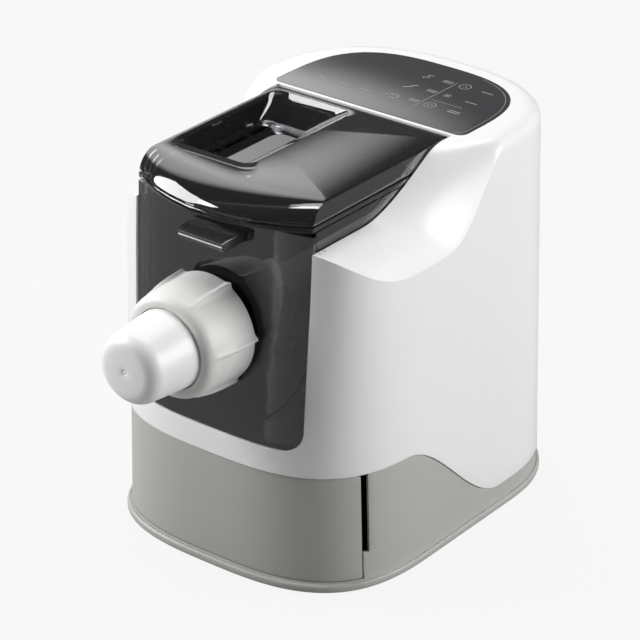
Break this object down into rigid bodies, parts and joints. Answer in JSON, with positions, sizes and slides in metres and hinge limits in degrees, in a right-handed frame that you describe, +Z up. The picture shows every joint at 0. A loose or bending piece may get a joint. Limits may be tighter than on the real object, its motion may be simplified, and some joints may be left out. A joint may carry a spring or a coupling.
{
  "type": "electric pasta maker",
  "caption": "Countertop electric pasta maker with a smoked mixing chamber and hinged lid, a screw-on extruder nut at the front, and a drawer in its grey base.",
  "frame": {"origin": "middle of the overall footprint, on the surface that the feet stand on", "axes": "+Z up, the extruder nut and the drawer face -Y, +X to the right seen from the front"},
  "size_m": [0.21, 0.3378, 0.2587],
  "materials": {
    "white_shell": "satin moulded ABS",
    "grey_base": "fine satin moulded ABS",
    "dark_liner": "moulded black plastic",
    "black_rubber": "matte rubber",
    "steel_screw": "plated steel",
    "white_tray": "moulded polypropylene",
    "panel_glass": "glossy dark acrylic",
    "circuit_board": "glass-fibre board with parts",
    "smoked_plastic": "clear smoked moulding",
    "seal_silicone": "moulded silicone",
    "die_plastic": "moulded acetal",
    "nut_plastic": "moulded off-white plastic",
    "bearing_bronze": "sintered bronze",
    "gearbox_aluminium": "die-cast aluminium",
    "gear_plastic": "moulded nylon",
    "motor_steel": "laminated and drawn steel"
  },
  "bodies": {
    "root": {"main_housing": "white_shell", "chamber_liner": "dark_liner", "base_housing": "grey_base", "bottom_cover": "grey_base", "rubber_feet": "black_rubber", "cover_screws": "steel_screw", "drawer_bay": "dark_liner", "control_glass": "panel_glass", "control_board": "circuit_board", "control_board_screws": "steel_screw", "power_board": "circuit_board", "cord_gland": "black_rubber", "lid_sensor": "dark_liner", "mixing_bowl": "smoked_plastic", "bowl_seal": "seal_silicone", "front_bearing": "bearing_bronze", "rear_bearing": "bearing_bronze", "gearbox_housing": "gearbox_aluminium", "gearbox_cover": "gearbox_aluminium", "second_axle": "steel_screw", "first_axle": "steel_screw", "motor_can": "motor_steel", "motor_end_bell": "motor_steel", "motor_stator": "motor_steel", "motor_cradle": "dark_liner"},
    "drawer": {"drawer_front": "grey_base", "drawer_tray": "white_tray"},
    "lid": {"lid": "smoked_plastic", "lid_hinge_pins": "steel_screw", "lid_magnet": "steel_screw"},
    "front_unit": {"front_panel": "smoked_plastic", "panel_seal": "seal_silicone", "panel_grip": "smoked_plastic", "extruder_tube": "dark_liner"},
    "shaping_plate": {"shaping_die": "die_plastic"},
    "nut": {"clamp_nut": "nut_plastic"},
    "cap": {"end_cap": "nut_plastic"},
    "mixer": {"auger_screw": "nut_plastic", "mixing_paddle": "nut_plastic", "drive_shaft": "steel_screw", "output_gear": "gear_plastic"},
    "second_cluster": {"second_gear": "gear_plastic"},
    "first_cluster": {"first_gear": "gear_plastic"},
    "rotor": {"motor_rotor": "motor_steel", "motor_pinion": "bearing_bronze", "cooling_fan": "dark_liner"}
  },
  "joints": [
    {"name": "lid_hinge", "type": "hinge", "parent": "root", "child": "lid", "pos_m": [0, 0.0562, 0.2553], "axis": [-1, 0, 0], "range_deg": [0, 75]},
    {"name": "drawer_slide", "type": "slide", "parent": "root", "child": "drawer", "axis": [0, -1, 0], "range_m": [0, 0.09]},
    {"name": "front_unit_slide", "type": "slide", "parent": "root", "child": "front_unit", "axis": [0, -1, 0], "range_m": [0, 0.05]},
    {"name": "plate_travel", "type": "slide", "parent": "front_unit", "child": "shaping_plate", "axis": [0, -1, 0], "range_m": [0, 0.0181]},
    {"name": "nut_turn", "type": "hinge", "parent": "shaping_plate", "child": "nut", "pos_m": [0, -0.091, 0.168], "axis": [0, -1, 0], "range_deg": [0, 540]},
    {"name": "cap_pull", "type": "slide", "parent": "nut", "child": "cap", "axis": [0, -1, 0], "range_m": [0, 0.04]},
    {"name": "mixer_turn", "type": "hinge", "parent": "root", "child": "mixer", "pos_m": [0, 0.0599, 0.168], "axis": [0, 1, 0], "continuous": true},
    {"name": "second_gear_turn", "type": "hinge", "parent": "root", "child": "second_cluster", "pos_m": [0.03, 0.0799, 0.12492], "axis": [0, 1, 0], "continuous": true},
    {"name": "first_gear_turn", "type": "hinge", "parent": "root", "child": "first_cluster", "pos_m": [-0.01, 0.0899, 0.1043], "axis": [0, 1, 0], "continuous": true},
    {"name": "motor_turn", "type": "hinge", "parent": "root", "child": "rotor", "pos_m": [0, 0.1199, 0.06816], "axis": [0, 1, 0], "continuous": true}
  ],
  "couplings": [
    {"joint": "plate_travel", "follows": "nut_turn", "m_per_rad": 0.0019099},
    {"joint": "first_gear_turn", "follows": "motor_turn", "ratio": -0.25},
    {"joint": "second_gear_turn", "follows": "motor_turn", "ratio": 0.076087},
    {"joint": "mixer_turn", "follows": "motor_turn", "ratio": -0.023157}
  ]
}
